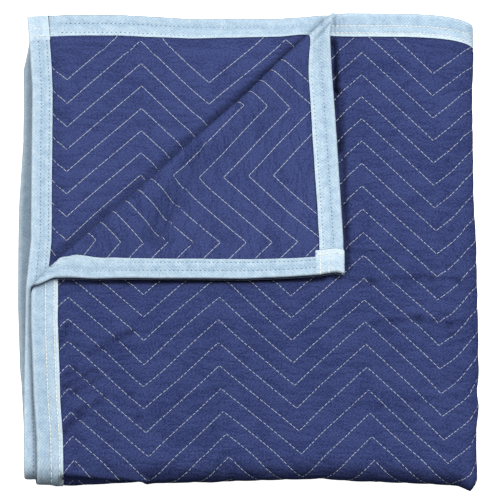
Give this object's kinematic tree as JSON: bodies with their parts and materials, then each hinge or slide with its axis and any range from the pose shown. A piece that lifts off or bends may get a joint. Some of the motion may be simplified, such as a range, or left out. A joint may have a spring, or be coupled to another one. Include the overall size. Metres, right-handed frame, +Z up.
{
  "type": "moving blanket",
  "caption": "Quilted moving blanket with a bound edge, folded into a flat pack and lying down, with one corner of its top layer turned back.",
  "frame": {"origin": "under the middle of the folded pack, on the surface it rests on", "axes": "+Z up, +X towards the side with the folds, +Y towards the far side, where the bound long edges lie; the last fold is at -Y"},
  "size_m": [0.4607, 0.5186, 0.054],
  "materials": {
    "quilted_cloth": "matte woven cotton and polyester cloth, quilted",
    "binding_tape": "matte twill tape"
  },
  "bodies": {
    "root": {"quilt": "quilted_cloth", "side_binding_outer": "binding_tape", "side_binding_inner": "binding_tape", "end_binding_upper": "binding_tape", "end_binding_lower": "binding_tape"}
  },
  "joints": []
}
